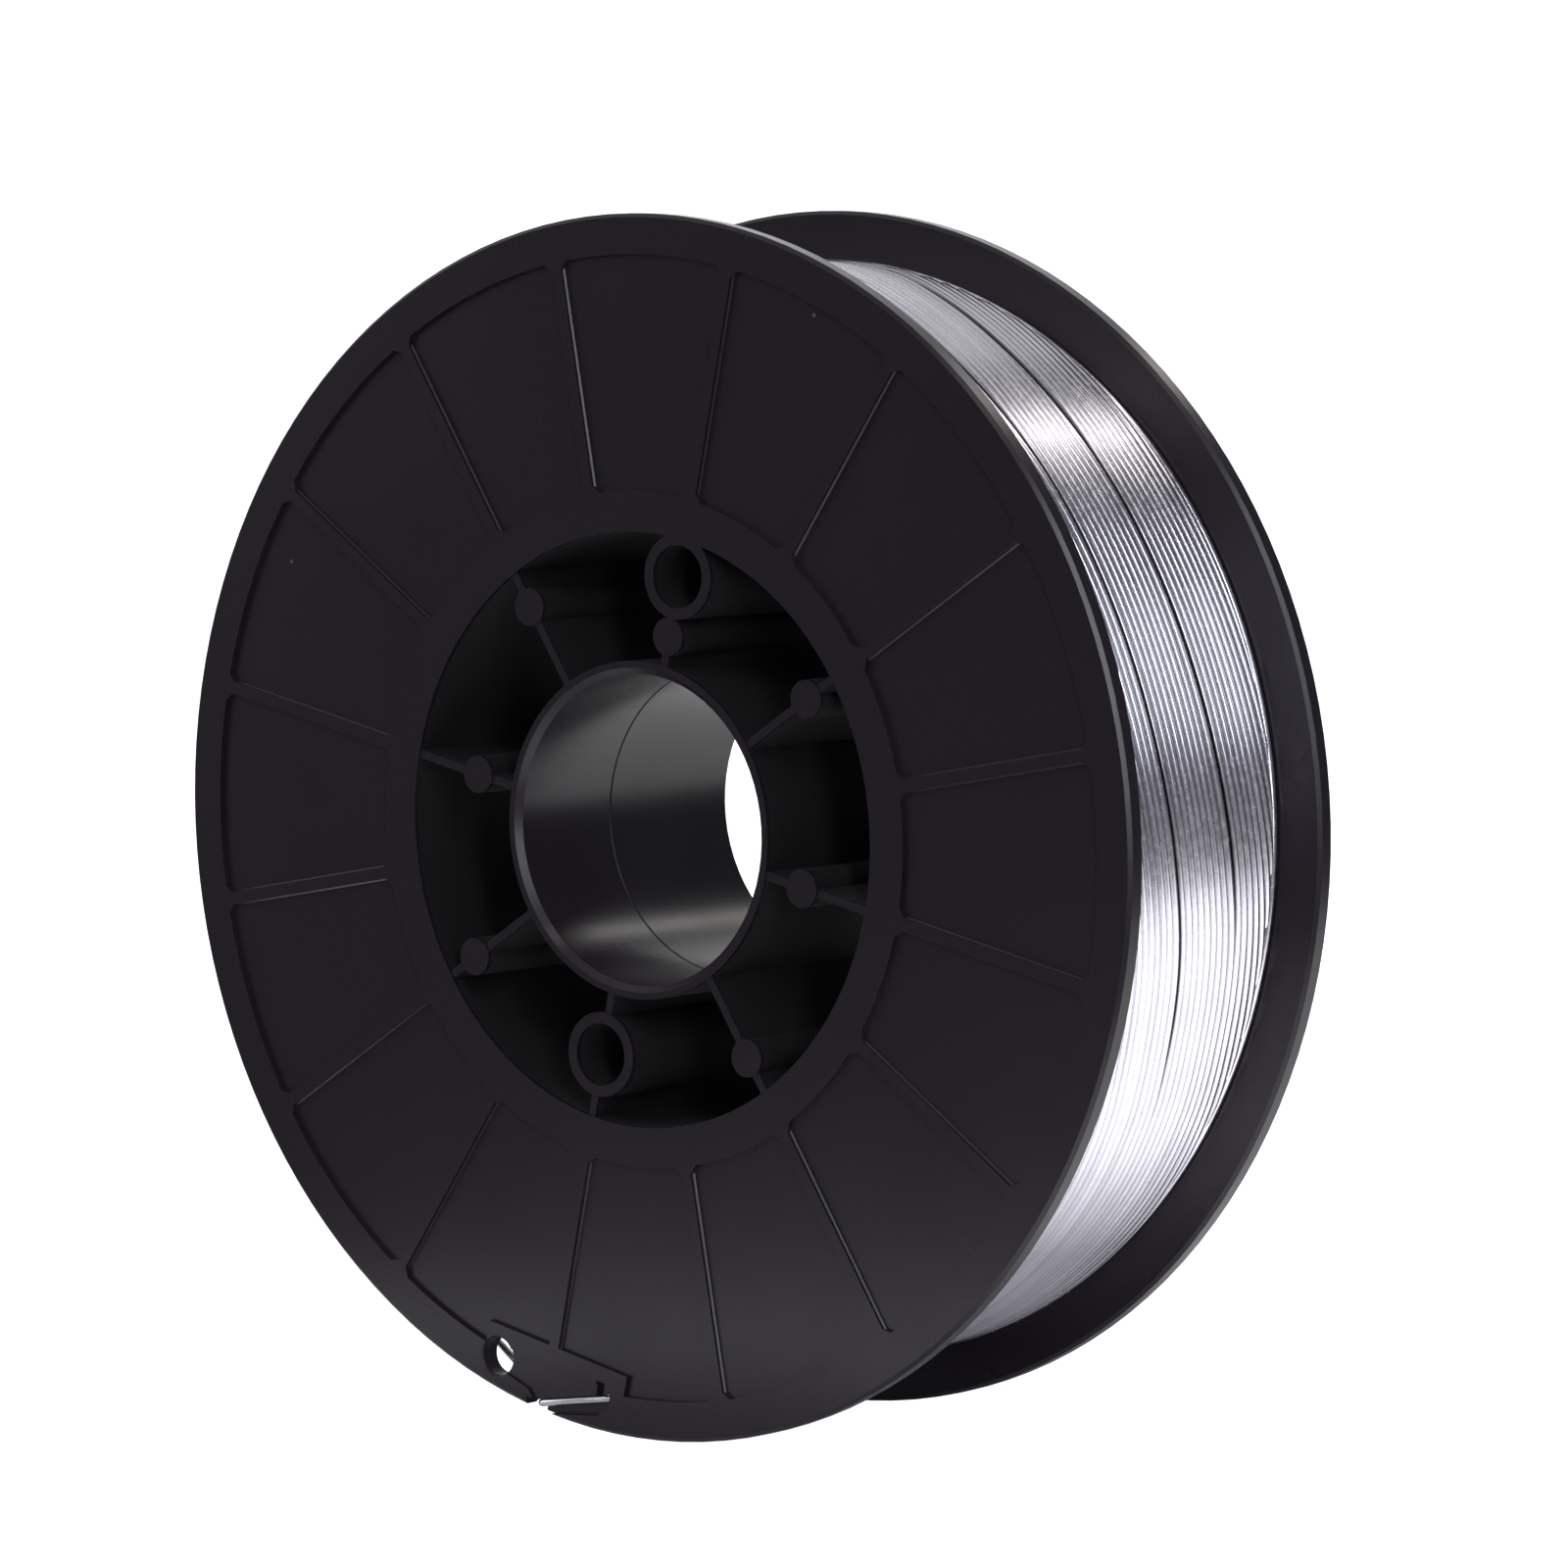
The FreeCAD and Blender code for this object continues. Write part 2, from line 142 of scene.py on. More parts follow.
def mouldedGrain():
    # slow patches, a fine grain and a few specks of dust, by place on the object
    group, start, end = newGroup(
        "mouldedGrain",
        {"Patch Scale": 30.0, "Grain Scale": 1500.0, "Speck Scale": 60.0, "Speck Size": 0.02},
        ["Patches", "Grain", "Specks"],
    )
    place = group.nodes.new("ShaderNodeTexCoord")
    patches = addNode(group, "ShaderNodeTexNoise", values={"Detail": 4.0, "Roughness": 0.55})
    grain = addNode(group, "ShaderNodeTexNoise", values={"Detail": 2.0, "Roughness": 0.5})
    cells = addNode(group, "ShaderNodeTexVoronoi")
    near = addNode(group, "ShaderNodeMath", {"operation": "LESS_THAN"})
    for node, scale in ((patches, "Patch Scale"), (grain, "Grain Scale"), (cells, "Speck Scale")):
        group.links.new(place.outputs["Object"], node.inputs["Vector"])
        group.links.new(start.outputs[scale], node.inputs["Scale"])
    group.links.new(cells.outputs["Distance"], near.inputs[0])
    group.links.new(start.outputs["Speck Size"], near.inputs[1])
    group.links.new(patches.outputs["Fac"], end.inputs["Patches"])
    group.links.new(grain.outputs["Fac"], end.inputs["Grain"])
    group.links.new(near.outputs["Value"], end.inputs["Specks"])
    return group


grainGroup = mouldedGrain()

plastic = {
    "dark": (0.0115, 0.0082, 0.0124),
    "light": (0.0155, 0.0113, 0.0168),
    "dust": (0.10, 0.10, 0.11),
    "roughLow": 0.25,
    "roughHigh": 0.33,
    "specular": 0.40,
    # deep between the bore tube and the barrel the moulding is coarse and dull, and its colour is darkened
    # there as painted shade
    "deepFrom": 0.0268,
    "deepTo": 0.0504,
    "deepWithin": 0.0262,
    "deepRough": 0.85,
    # painted shade: the near-black colour inside the hub
    "paintedDeepShade": (0.0030, 0.0022, 0.0032),
    "grainStrength": 0.25,
    "grainHeight": 0.00002,
    "grain": {"Patch Scale": 28.0, "Grain Scale": 1400.0, "Speck Scale": 60.0, "Speck Size": 0.02},
}


def deepMask(tree):
    # 1 inside the hub, by distance from the spool's axis and from its middle; there the roughness rises and the
    # colour takes painted shade
    place = tree.nodes.new("ShaderNodeTexCoord")
    parts = tree.nodes.new("ShaderNodeSeparateXYZ")
    across = tree.nodes.new("ShaderNodeCombineXYZ")
    outward = addNode(tree, "ShaderNodeVectorMath", {"operation": "DISTANCE"})
    outward.inputs[1].default_value = (0.0, 0.0, spool["axisHeight"])
    along = addNode(tree, "ShaderNodeMath", {"operation": "ABSOLUTE"})
    tree.links.new(place.outputs["Object"], parts.inputs["Vector"])
    tree.links.new(parts.outputs["X"], across.inputs["X"])
    tree.links.new(parts.outputs["Z"], across.inputs["Z"])
    tree.links.new(across.outputs["Vector"], outward.inputs[0])
    tree.links.new(parts.outputs["Y"], along.inputs[0])
    tests = []
    for source, operation, limit in (
        (outward, "GREATER_THAN", plastic["deepFrom"]),
        (outward, "LESS_THAN", plastic["deepTo"]),
        (along, "LESS_THAN", plastic["deepWithin"]),
    ):
        test = addNode(tree, "ShaderNodeMath", {"operation": operation})
        test.inputs[1].default_value = limit
        tree.links.new(source.outputs["Value"], test.inputs[0])
        tests.append(test.outputs["Value"])
    mask = tests[0]
    for test in tests[1:]:
        both = addNode(tree, "ShaderNodeMath", {"operation": "MULTIPLY"})
        tree.links.new(mask, both.inputs[0])
        tree.links.new(test, both.inputs[1])
        mask = both.outputs["Value"]
    return mask


def blendValue(tree, mask, first, second):
    # from the first value, a socket, to the second by the mask
    node = addNode(tree, "ShaderNodeMix", {"data_type": "FLOAT"}, {"B": second})
    tree.links.new(mask, node.inputs["Factor"])
    tree.links.new(first, node.inputs["A"])
    return node.outputs["Result"]


def plasticMaterial():
    material, tree, shader = newMaterial("spoolPlastic")
    grain = useGroup(tree, grainGroup, plastic["grain"])
    colour = toneRamp(tree, grain.outputs["Patches"], plastic["dark"], plastic["light"])
    colour = mixColour(tree, grain.outputs["Specks"], colour, plastic["dust"])
    deep = deepMask(tree)
    # inside the hub the base colour goes to a near-black tone: painted shade
    tree.links.new(mixColour(tree, deep, colour, plastic["paintedDeepShade"]), shader.inputs["Base Color"])
    rough = spread(tree, grain.outputs["Patches"], plastic["roughHigh"], plastic["roughLow"])
    tree.links.new(blendValue(tree, deep, rough, plastic["deepRough"]), shader.inputs["Roughness"])
    shader.inputs["Specular IOR Level"].default_value = plastic["specular"]
    values = {"Strength": plastic["grainStrength"], "Distance": plastic["grainHeight"]}
    bump = addNode(tree, "ShaderNodeBump", values=values)
    tree.links.new(grain.outputs["Grain"], bump.inputs["Height"])
    tree.links.new(bump.outputs["Normal"], shader.inputs["Normal"])
    return material


wire = {
    "dark": (0.68, 0.66, 0.72),
    "light": (0.88, 0.86, 0.92),
    # painted shade: the colour in the gaps between turns
    "paintedGapShade": (0.012, 0.012, 0.015),
    "roughLow": 0.18,
    "roughHigh": 0.28,
    "toneScale": 1.7,
    "toneShare": 0.6,
    "grain": {"Patch Scale": 60.0, "Grain Scale": 900.0, "Speck Scale": 60.0, "Speck Size": 0.0},
}


def wireMaterial(name, wound):
    # on the wound wire each turn has its own tone, and the gaps between turns are darkened in colour: painted
    # shade
    material, tree, shader = newMaterial(name)
    grain = useGroup(tree, grainGroup, wire["grain"])
    tone = grain.outputs["Patches"]
    if wound:
        turns = addNode(tree, "ShaderNodeUVMap", {"uv_map": "turns"})
        parts = tree.nodes.new("ShaderNodeSeparateXYZ")
        values = {"Scale": wire["toneScale"], "Detail": 1.0}
        along = addNode(tree, "ShaderNodeTexNoise", {"noise_dimensions": "1D"}, values)
        blend = addNode(tree, "ShaderNodeMix", {"data_type": "FLOAT"}, {"Factor": wire["toneShare"]})
        tree.links.new(turns.outputs["UV"], parts.inputs["Vector"])
        tree.links.new(parts.outputs["X"], along.inputs["W"])
        tree.links.new(tone, blend.inputs["A"])
        tree.links.new(along.outputs["Fac"], blend.inputs["B"])
        tone = blend.outputs["Result"]
    colour = toneRamp(tree, tone, wire["dark"], wire["light"])
    if wound:
        # the gap attribute darkens the colour between the turns: painted shade
        gap = addNode(tree, "ShaderNodeAttribute", {"attribute_name": "gap"})
        colour = mixColour(tree, gap.outputs["Fac"], colour, wire["paintedGapShade"])
    tree.links.new(colour, shader.inputs["Base Color"])
    rough = spread(tree, grain.outputs["Grain"], wire["roughLow"], wire["roughHigh"])
    tree.links.new(rough, shader.inputs["Roughness"])
    shader.inputs["Metallic"].default_value = 1.0
    return material


spoolPlastic = plasticMaterial()
woundWire = wireMaterial("woundWire", True)
looseWire = wireMaterial("looseWire", False)
print("materials made")

# the two mouldings keep their shape and get the small radii that a mould leaves
moulding = {
    "sameSpot": 1e-6,
    "flatWithin": math.radians(0.6),
    "sharpOver": math.radians(30),
    "smoothUnder": math.radians(38),
    "levelOver": 0.9999,
    "panelFrom": 0.0545,
    "panelTo": 0.0940,
    "panelDeep": 0.0012,
    "ribOver": 0.005,
    "panelBevel": 0.00026,
    "holeRound": 0.00035,
    "boreWithin": 0.0262,
    "seamAt": -0.004,
    "seamRound": 0.00030,
    "fineRound": 0.00012,
    "segments": 3,
    # millimetres across and up from the axis on the upright spool, and radius
    "clipHole": (-11.6, -94.0, 3.2),
    "holeReach": 1.05,
    "onPlane": 1e-5,
}


def roundEdges(bm, wanted, width, segments=moulding["segments"], clamp=True):
    edges = []
    for edge in bm.edges:
        if len(edge.link_faces) == 2 and edge.calc_face_angle() > moulding["sharpOver"] and wanted(edge):
            edges.append(edge)
    bmesh.ops.bevel(
        bm, geom=edges, offset=width, offset_type="OFFSET", segments=segments,
        profile=0.5, affect="EDGES", clamp_overlap=clamp,
    )


def softNormals(bm):
    # one normal for each corner: flat faces stay flat, and rounded edges run into them smoothly
    bm.normal_update()
    normals = []
    for face in bm.faces:
        face.smooth = True
        level = abs(face.normal.y) > moulding["levelOver"]
        for vert in face.verts:
            normal = face.normal * face.calc_area()
            for other in vert.link_faces:
                if other is not face and other.normal.angle(face.normal, 0) < moulding["smoothUnder"]:
                    normal = normal + other.normal * other.calc_area()
            normals.append(face.normal.copy() if level else normal.normalized())
    return normals


def makeMoulding(node, name):
    x, y, radius = moulding["clipHole"]
    hole = onSpool(x, y, 0)

    def nearFace(vert):
        return abs(vert.co.y) > spool["halfWidth"] - moulding["panelDeep"]

    def onPanel(edge):
        # the long straight edges of the ribs between the panels
        near, far = sorted(fromAxis(v.co) for v in edge.verts)
        rings = moulding["panelFrom"] < near and far < moulding["panelTo"]
        return rings and far - near > moulding["ribOver"] and all(nearFace(v) for v in edge.verts)

    def onHole(edge):
        reach = radius / 1000 * moulding["holeReach"]
        near = all(math.hypot(v.co.x - hole.x, v.co.z - hole.z) < reach for v in edge.verts)
        return near and all(v.co.y < -spool["halfWidth"] + moulding["onPlane"] for v in edge.verts)

    def onSeam(edge):
        inBore = all(fromAxis(v.co) < moulding["boreWithin"] for v in edge.verts)
        return inBore and all(abs(v.co.y - moulding["seamAt"]) < moulding["onPlane"] for v in edge.verts)

    bm = bmesh.new()
    bm.from_mesh(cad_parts[node].data)
    bmesh.ops.remove_doubles(bm, verts=bm.verts, dist=moulding["sameSpot"])
    bmesh.ops.dissolve_limit(bm, angle_limit=moulding["flatWithin"], verts=bm.verts, edges=bm.edges)
    roundEdges(bm, onPanel, moulding["panelBevel"], 1, False)
    roundEdges(bm, onHole, moulding["holeRound"])
    roundEdges(bm, onSeam, moulding["seamRound"])
    roundEdges(bm, lambda edge: True, moulding["fineRound"])
    mesh = bpy.data.meshes.new(name)
    normals = softNormals(bm)
    bm.to_mesh(mesh)
    bm.free()
    mesh.normals_split_custom_set(normals)
    print(name, len(mesh.polygons), "faces")
    return addPiece(name, mesh, spoolPlastic, node)


makeMoulding("front_half", "front_moulding")
makeMoulding("rear_half", "rear_moulding")

# the wound wire: its turns run round as one thread, drift along the axis, and leave two wider gaps
winding = {
    "outside": 0.0920,
    "inside": 0.0511,
    "halfLength": 0.0234,
    "pitch": 0.00163,
    "turnRadius": 0.00066,
    "turnAngles": (-90, -64, -42, -21, 0, 21, 42, 64, 90),
    "valley": 0.00096,
    "steps": 180,
    # how far the turns stray sideways and down, and how often in a turn
    "sideways": 0.00003,
    "sidewaysOften": 3,
    "lift": 0.00004,
    "liftOften": 2.3,
    "seed": 7,
    "noiseLength": 512,
    # millimetres along the axis by degrees round it
    "drift": [(-180, 8), (-120, 13), (-75, 17), (-45, 17), (-29, 14.2), (-20, 11.2), (-10, 8.3),
              (0, 5.1), (10, 2.3), (20, 0.6), (30, 0), (40, 0.2), (50, 0.9), (60, 2.9), (70, 6.9),
              (80, 12.5), (100, 15), (130, 12)],
    # the turn after which a gap lies, its width, how deep it looks and the degrees at which it closes below
    "gaps": [(3, 0.00100, 0.0026, -14), (-6, 0.00064, 0.0024, -30)],
    "gapFades": (100, 175),
    "gapCloses": 14,
    # a gap is narrower below the first angle than above the second
    "gapWidens": (35, 55),
    "gapNarrow": 0.4,
    # where on a gap's sides the painted shade starts, and how strong it is there
    "gapSide": 0.00056,
    "gapShade": 0.8,
    # beside the flanges the turns dive under one that runs straight round
    "edgeWidth": 0.0017,
    "edgeDepth": 0.00075,
    "edgeTone": 60,
    "samePoint": 1e-7,
    "cutWithin": 1e-8,
    "onRim": 1e-6,
}


def smooth(x):
    x = min(max(x, 0.0), 1.0)
    return x * x * (3 - 2 * x)


def roundTable(table, x):
    # a smooth closed curve through (degrees, value) points
    count = len(table)
    before = max((i for i in range(count) if table[i][0] <= x), default=count - 1)

    def point(i):
        laps, i = divmod(i, count)
        return table[i][0] + 360 * laps, table[i][1]
    (x0, y0), (x1, y1), (x2, y2), (x3, y3) = (point(before + k) for k in (-1, 0, 1, 2))
    t = (x - x1) / (x2 - x1)
    startSlope = (y2 - y0) / (x2 - x0) * (x2 - x1)
    endSlope = (y3 - y1) / (x3 - x1) * (x2 - x1)
    return (y1 * (2 * t ** 3 - 3 * t ** 2 + 1) + y2 * (3 * t ** 2 - 2 * t ** 3)
            + startSlope * (t ** 3 - 2 * t ** 2 + t) + endSlope * (t ** 3 - t ** 2))


def slowNoise(rng, count):
    values = [rng.uniform(-1, 1) for _ in range(count)]

    def at(x):
        i = math.floor(x)
        return values[i % count] + (values[(i + 1) % count] - values[i % count]) * smooth(x - i)
    return at


def windingPoint(turn, x, depth, degrees, noise):
    # where one line of the outline lies at one angle: place along the axis, radius and how far it lies in a
    # gap, which sets the painted shade in its colour
    w = winding
    along = turn + degrees / 360
    y = along * w["pitch"] + x + noise[0](along * w["sidewaysOften"]) * w["sideways"]
    start, stop = w["gapFades"]
    narrow, wide = w["gapWidens"]
    share = w["gapNarrow"] + (1 - w["gapNarrow"]) * smooth((degrees - narrow) / (wide - narrow))
    # how much painted shade the gap puts into this line's colour
    shade = 0.0
    for after, width, deep, lowest in w["gaps"]:
        shown = smooth((stop - degrees) / (stop - start)) * smooth((degrees - lowest) / w["gapCloses"])
        y += width * share * shown * (0.5 if turn > after else -0.5)
        if turn == after and x > w["turnRadius"]:
            depth += (deep - depth) * shown
            y += width * share * shown / 2
            shade = shown
        elif (turn == after and x > w["gapSide"]) or (turn == after + 1 and x < -w["gapSide"]):
            shade = shown * w["gapShade"]
    y += roundTable(w["drift"], degrees) / 1000
    radius = w["outside"] - depth - (1 + noise[1](along * w["liftOften"])) * w["lift"]
    flat = smooth(1 - (w["halfLength"] - abs(y)) / w["edgeWidth"])
    radius += (w["outside"] - w["edgeDepth"] - radius) * flat
    return y, radius, shade * (1 - flat)


def makeWinding():
    w = winding
    rng = random.Random(w["seed"])
    noise = slowNoise(rng, w["noiseLength"]), slowNoise(rng, w["noiseLength"])
    bm = bmesh.new()
    uv = bm.loops.layers.uv.new("turns")
    # per point, how much painted shade the gaps put into the wire's colour
    paintedGapShade = bm.verts.layers.float.new("gap")
    spots = {}
    rows = []

    def addRow(pointAt, tone, place):
        # one line of vertices round the spool
        row = []
        for step in range(w["steps"] + 1):
            degrees = -180 + 360 * step / w["steps"]
            y, radius, shade = pointAt(degrees)
            angle = math.radians(degrees)
            vert = bm.verts.new((radius * math.cos(angle), y, spool["axisHeight"] + radius * math.sin(angle)))
            vert[paintedGapShade] = shade
            spots[vert] = (tone + degrees / 360, place)
            row.append(vert)
        rows.append(row)

    half = []
    for angle in w["turnAngles"]:
        across = w["turnRadius"] * math.sin(math.radians(angle))
        half.append((across, w["turnRadius"] * (1 - math.cos(math.radians(angle)))))
    outline = half + [(w["pitch"] / 2, w["valley"])]
    drifts = [shift for degrees, shift in w["drift"]]
    first = math.floor((-w["halfLength"] - max(drifts) / 1000) / w["pitch"]) - 2
    last = math.ceil((w["halfLength"] - min(drifts) / 1000) / w["pitch"]) + 2
    for turn in range(first, last):
        for x, depth in outline:
            addRow(lambda degrees: windingPoint(turn, x, depth, degrees, noise), turn, x / w["pitch"] + 0.5)
    # beside each flange one turn runs straight round
    for side in (-1, 1):
        rows.append([])
        centre = side * (w["halfLength"] - w["turnRadius"])
        for x, depth in half:
            addRow(lambda degrees: (centre + x, w["outside"] - depth, 0.0), side * w["edgeTone"], 0.5)
    for here, there in zip(rows, rows[1:]):
        if not here or not there:
            continue
        for step in range(w["steps"]):
            corners = (here[step], there[step], there[step + 1], here[step + 1])
            face = bm.faces.new(corners)
            for loop, vert in zip(face.loops, corners):
                loop[uv].uv = spots[vert]
    bmesh.ops.remove_doubles(bm, verts=bm.verts, dist=w["samePoint"])
    closeWinding(bm)
    mesh = bpy.data.meshes.new("wire_turns")
    bm.to_mesh(mesh)
    bm.free()
    print("wire_turns", len(mesh.polygons), "faces")
    return addPiece("wire_turns", mesh, woundWire, "wire_winding")


def closeWinding(bm):
    # cut square at the flanges, then closed down to the barrel at both ends
    w = winding
    for side in (-1, 1):
        everything = list(bm.verts) + list(bm.edges) + list(bm.faces)
        bmesh.ops.bisect_plane(
            bm, geom=everything, dist=w["cutWithin"], clear_outer=True,
            plane_co=(0, side * w["halfLength"], 0), plane_no=(0, side, 0),
        )
    rims = [edge for edge in bm.edges if len(edge.link_faces) == 1
            and all(abs(abs(v.co.y) - w["halfLength"]) < w["onRim"] for v in edge.verts)]
    for part in bmesh.ops.extrude_edge_only(bm, edges=rims)["geom"]:
        if isinstance(part, bmesh.types.BMVert):
            shrink = w["inside"] / fromAxis(part.co)
            part.co.x *= shrink
            part.co.z = spool["axisHeight"] + (part.co.z - spool["axisHeight"]) * shrink
    for face in bm.faces:
        face.smooth = abs(face.normal.y) < moulding["levelOver"]
    for edge in rims:
        edge.smooth = False
    bmesh.ops.recalc_face_normals(bm, faces=bm.faces)


makeWinding()

# the free end of the wire: off the outer turn behind the front flange, through the notch, into its groove
wireEnd = {
    "radius": 0.00060,
    "sides": 16,
    "bend": 1.3,
    "bendSteps": 8,
    # corners in millimetres on the spool, seen from the front, and height from the rear face
    "corners": [(-37.3, -83.3, 49.7), (-2.1, -99.2, 49.7), (-1.9, -99.15, 53.1), (13.1, -93.5, 53.1)],
    "tipBevel": 0.00012,
}


def bentPath(corners, bend, steps):
    # straight runs joined by arcs of one radius
    path = [corners[0]]
    for before, corner, after in zip(corners, corners[1:], corners[2:]):
        back = (before - corner).normalized()
        on = (after - corner).normalized()
        half = back.angle(on) / 2
        reach = bend / math.tan(half)
        centre = corner + (back + on).normalized() * (bend / math.sin(half))
        start = corner + back * reach - centre
        stop = corner + on * reach - centre
        sweep = start.angle(stop)
        for k in range(steps + 1):
            t = k / steps
            a, b = math.sin((1 - t) * sweep) / math.sin(sweep), math.sin(t * sweep) / math.sin(sweep)
            path.append(centre + start * a + stop * b)
    path.append(corners[-1])
    return path


def tube(bm, path, radius, sides, tipBevel):
    # rings carried along the path without twist, closed at both ends, the last end with a small bevel
    along = (path[1] - path[0]).normalized()
    side = along.orthogonal().normalized()
    rings = []
    for i, point in enumerate(path):
        ahead = (path[min(i + 1, len(path) - 1)] - path[max(i - 1, 0)]).normalized()
        side = (side - ahead * side.dot(ahead)).normalized()
        up = ahead.cross(side)
        widths = [(0.0, radius)]
        if i == len(path) - 1:
            widths = [(-tipBevel, radius), (0.0, radius - tipBevel)]
        for shift, width in widths:
            ring = []
            for k in range(sides):
                a = 2 * math.pi * k / sides
                outward = side * math.cos(a) + up * math.sin(a)
                ring.append(bm.verts.new(point + ahead * shift + outward * width))
            rings.append(ring)
    for here, there in zip(rings, rings[1:]):
        for k in range(sides):
            face = bm.faces.new((here[k], here[(k + 1) % sides], there[(k + 1) % sides], there[k]))
            face.smooth = True
    bm.faces.new(list(reversed(rings[0])))
    bm.faces.new(rings[-1])


def makeWireEnd():
    corners = [onSpool(*corner) for corner in wireEnd["corners"]]
    path = bentPath(corners, wireEnd["bend"] / 1000, wireEnd["bendSteps"])
    bm = bmesh.new()
    tube(bm, path, wireEnd["radius"], wireEnd["sides"], wireEnd["tipBevel"])
    bmesh.ops.recalc_face_normals(bm, faces=bm.faces)
    mesh = bpy.data.meshes.new("wire_end")
    bm.to_mesh(mesh)
    bm.free()
    print("wire_end", len(mesh.polygons), "faces")
    return addPiece("wire_end", mesh, looseWire, "wire_winding")


makeWireEnd()

# a sheet of paper below the spool that sweeps up behind it, square to the camera
studio = {
    "turn": math.radians(39.4),
    "floorFront": 0.222,
    "floorBack": 0.95,
    "leftFront": 0.145,
    "leftBack": 0.27,
    "floorRight": 0.45,
    "wallHeight": 0.9,
    "bendRadius": 0.3,
    "bendSteps": 12,
    "paper": (0.82, 0.82, 0.83),
    "paperRough": 0.9,
    "ground": (0.10, 0.10, 0.11),
    "groundRough": 0.8,
    "groundGlow": 0.04,
    "groundSize": 8.0,
    "groundDrop": 0.002,
    "shadeFrom": 0.066,
    "shadeTo": 0.112,
    "world": (0.10, 0.10, 0.115),
}


def paleInView(tree, mirrored):
    # 1 in the view and through clear things, and in reflections the given value or socket;
    # this shows the background as white and adds no light to the object
    path = tree.nodes.new("ShaderNodeLightPath")
    inMirror = addNode(tree, "ShaderNodeMath", {"operation": "MULTIPLY"})
    tree.links.new(path.outputs["Is Glossy Ray"], inMirror.inputs[0])
    if isinstance(mirrored, float):
        inMirror.inputs[1].default_value = mirrored
    else:
        tree.links.new(mirrored, inMirror.inputs[1])
    shown = inMirror.outputs["Value"]
    for ray in ("Is Camera Ray", "Is Transmission Ray"):
        either = addNode(tree, "ShaderNodeMath", {"operation": "MAXIMUM"})
        tree.links.new(path.outputs[ray], either.inputs[0])
        tree.links.new(shown, either.inputs[1])
        shown = either.outputs["Value"]
    return shown


def whiteGlow(material, shader, strength):
    shader.inputs["Emission Color"].default_value = (1.0, 1.0, 1.0, 1.0)
    material.node_tree.links.new(strength, shader.inputs["Emission Strength"])
    material.cycles.emission_sampling = "NONE"


def paperMaterial():
    material, tree, shader = newMaterial("paper")
    shader.inputs["Base Color"].default_value = (*studio["paper"], 1.0)
    shader.inputs["Roughness"].default_value = studio["paperRough"]
    shader.inputs["Specular IOR Level"].default_value = 0.0
    # in reflections the paper fades towards the spool's foot, where it lies in shade
    place = tree.nodes.new("ShaderNodeTexCoord")
    far = addNode(tree, "ShaderNodeVectorMath", {"operation": "LENGTH"})
    values = {"From Min": studio["shadeFrom"], "From Max": studio["shadeTo"]}
    clear = addNode(tree, "ShaderNodeMapRange", {"interpolation_type": "SMOOTHSTEP"}, values)
    tree.links.new(place.outputs["Object"], far.inputs[0])
    tree.links.new(far.outputs["Value"], clear.inputs["Value"])
    whiteGlow(material, shader, paleInView(tree, clear.outputs["Result"]))
    # from behind, the sheet lets the view through
    side = tree.nodes.new("ShaderNodeNewGeometry")
    front = addNode(tree, "ShaderNodeMath", {"operation": "SUBTRACT"})
    front.inputs[0].default_value = 1.0
    tree.links.new(side.outputs["Backfacing"], front.inputs[1])
    tree.links.new(front.outputs["Value"], shader.inputs["Alpha"])
    return material


def groundMaterial():
    # the table round the paper and the room are dim in reflections
    material, tree, shader = newMaterial("ground")
    shader.inputs["Base Color"].default_value = (*studio["ground"], 1.0)
    shader.inputs["Roughness"].default_value = studio["groundRough"]
    whiteGlow(material, shader, paleInView(tree, studio["groundGlow"]))
    return material


def makeStudio():
    turn = Matrix.Rotation(studio["turn"], 4, "Z")
    bend, back = studio["bendRadius"], studio["floorBack"]
    outline = [(-studio["floorFront"], 0.0)]
    for i in range(studio["bendSteps"] + 1):
        a = math.pi / 2 * i / studio["bendSteps"]
        outline.append((back - bend + bend * math.sin(a), bend - bend * math.cos(a)))
    outline.append((back, studio["wallHeight"]))
    verts = []
    for depth, height in outline:
        share = (depth + studio["floorFront"]) / (back + studio["floorFront"])
        left = studio["leftFront"] + (studio["leftBack"] - studio["leftFront"]) * share
        verts += [turn @ Vector((-left, depth, height)), turn @ Vector((studio["floorRight"], depth, height))]
    faces = [(2 * i, 2 * i + 1, 2 * i + 3, 2 * i + 2) for i in range(len(outline) - 1)]
    mesh = bpy.data.meshes.new("paper")
    mesh.from_pydata(verts, [], faces)
    mesh.polygons.foreach_set("use_smooth", [True] * len(faces))
    mesh.materials.append(paperMaterial())
    paper = bpy.data.objects.new("paper", mesh)
    scene.collection.objects.link(paper)
    reach, drop = studio["groundSize"] / 2, -studio["groundDrop"]
    ground = bpy.data.meshes.new("ground")
    corners = [(x * reach, y * reach, drop) for x, y in ((-1, -1), (1, -1), (1, 1), (-1, 1))]
    ground.from_pydata(corners, [], [(0, 1, 2, 3)])
    ground.materials.append(groundMaterial())
    floor = bpy.data.objects.new("ground", ground)
    scene.collection.objects.link(floor)
    world = bpy.data.worlds.new("studio")
    scene.world = world
    world.use_nodes = True
    tree = world.node_tree
    background = tree.nodes["Background"]
    path = tree.nodes.new("ShaderNodeLightPath")
    clear = addNode(tree, "ShaderNodeMath", {"operation": "MAXIMUM"})
    room = addNode(tree, "ShaderNodeMix", {"data_type": "RGBA"})
    room.inputs["A"].default_value = (*studio["world"], 1.0)
    room.inputs["B"].default_value = (1.0, 1.0, 1.0, 1.0)
    tree.links.new(path.outputs["Is Camera Ray"], clear.inputs[0])
    tree.links.new(path.outputs["Is Transmission Ray"], clear.inputs[1])
    tree.links.new(clear.outputs["Value"], room.inputs["Factor"])
    tree.links.new(room.outputs["Result"], background.inputs["Color"])


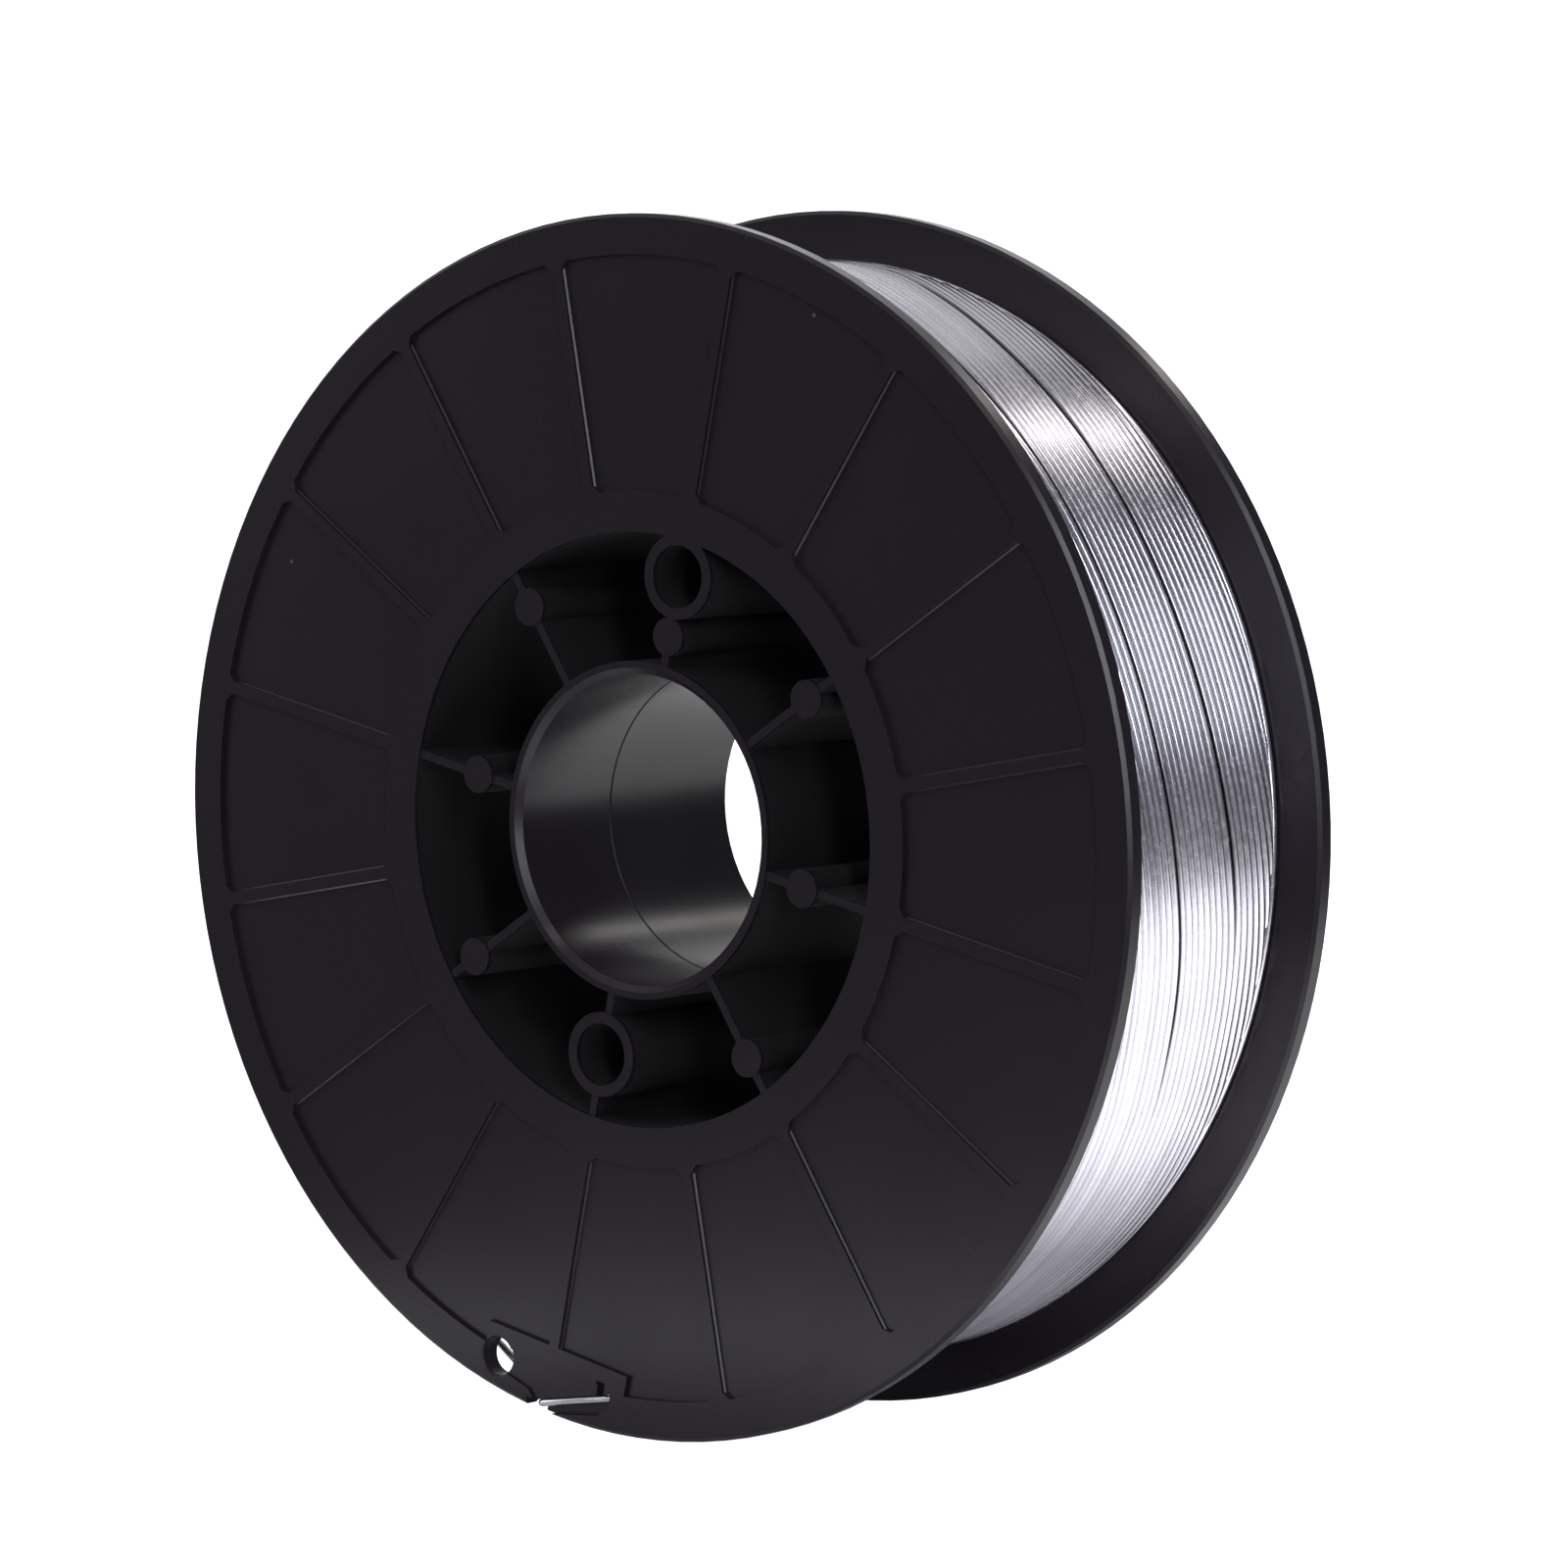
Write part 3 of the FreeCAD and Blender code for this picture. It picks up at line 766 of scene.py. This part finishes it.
# soft boxes: degrees right of the front, degrees up, distance, width, height, roll, power and colour
lamps = {
    "rightBox": (36.0, 18.0, 1.9, 1.30, 1.30, 0.0, 3.3, (0.86, 0.91, 1.0)),
    "sideStrip": (51.0, 21.0, 0.9, 0.10, 0.74, 0.0, 2.6, (0.92, 0.95, 1.0)),
    "backBox": (107.0, 22.0, 1.9, 1.60, 0.86, 0.0, 2.7, (0.86, 0.91, 1.0)),
    "leftBox": (-72.0, 12.0, 1.9, 1.40, 1.40, 0.0, 8.0, (1.0, 0.98, 1.0)),
    "frontStrip": (0.0, 37.5, 1.6, 1.60, 0.15, 47.0, 2.6, (1.0, 0.97, 0.93)),
    "topStrip": (90.0, 72.5, 1.6, 2.20, 0.15, 0.0, 3.4, (1.0, 0.97, 0.93)),
    "backStrip": (180.0, 37.5, 1.6, 1.60, 0.15, -47.0, 2.6, (1.0, 0.97, 0.93)),
    "topSheet": (-90.0, 53.0, 2.0, 6.00, 2.80, 0.0, 22.0, (1.0, 1.0, 1.0)),
}


def makeLamps():
    middle = Vector((0.0, 0.0, spool["axisHeight"]))
    for name, (azimuth, elevation, distance, width, height, roll, power, colour) in lamps.items():
        az, el = math.radians(azimuth), math.radians(elevation)
        direction = Vector((math.sin(az) * math.cos(el), -math.cos(az) * math.cos(el), math.sin(el)))
        light = bpy.data.lights.new(name, "AREA")
        light.shape = "RECTANGLE"
        light.size, light.size_y = width, height
        light.energy = power
        light.color = colour
        lamp = bpy.data.objects.new(name, light)
        lamp.location = middle + direction * distance
        aim = (-direction).to_track_quat("-Z", "Y") @ Quaternion((0, 0, 1), math.radians(roll))
        lamp.rotation_euler = aim.to_euler()
        scene.collection.objects.link(lamp)


# the photo's view: about 39 degrees to the right of the axis and 5 degrees down
view = {
    "place": (0.76624, -0.92274, 0.21268),
    "turn": (84.9049, -0.0356, 39.3832),
    "lens": 167.319,
    "sensor": 36.0,
}


def makeCamera():
    data = bpy.data.cameras.new("camera")
    data.lens = view["lens"]
    data.sensor_width = view["sensor"]
    camera = bpy.data.objects.new("camera", data)
    camera.location = view["place"]
    camera.rotation_euler = [math.radians(angle) for angle in view["turn"]]
    scene.collection.objects.link(camera)
    scene.camera = camera


makeStudio()
makeLamps()
makeCamera()
print("studio made")
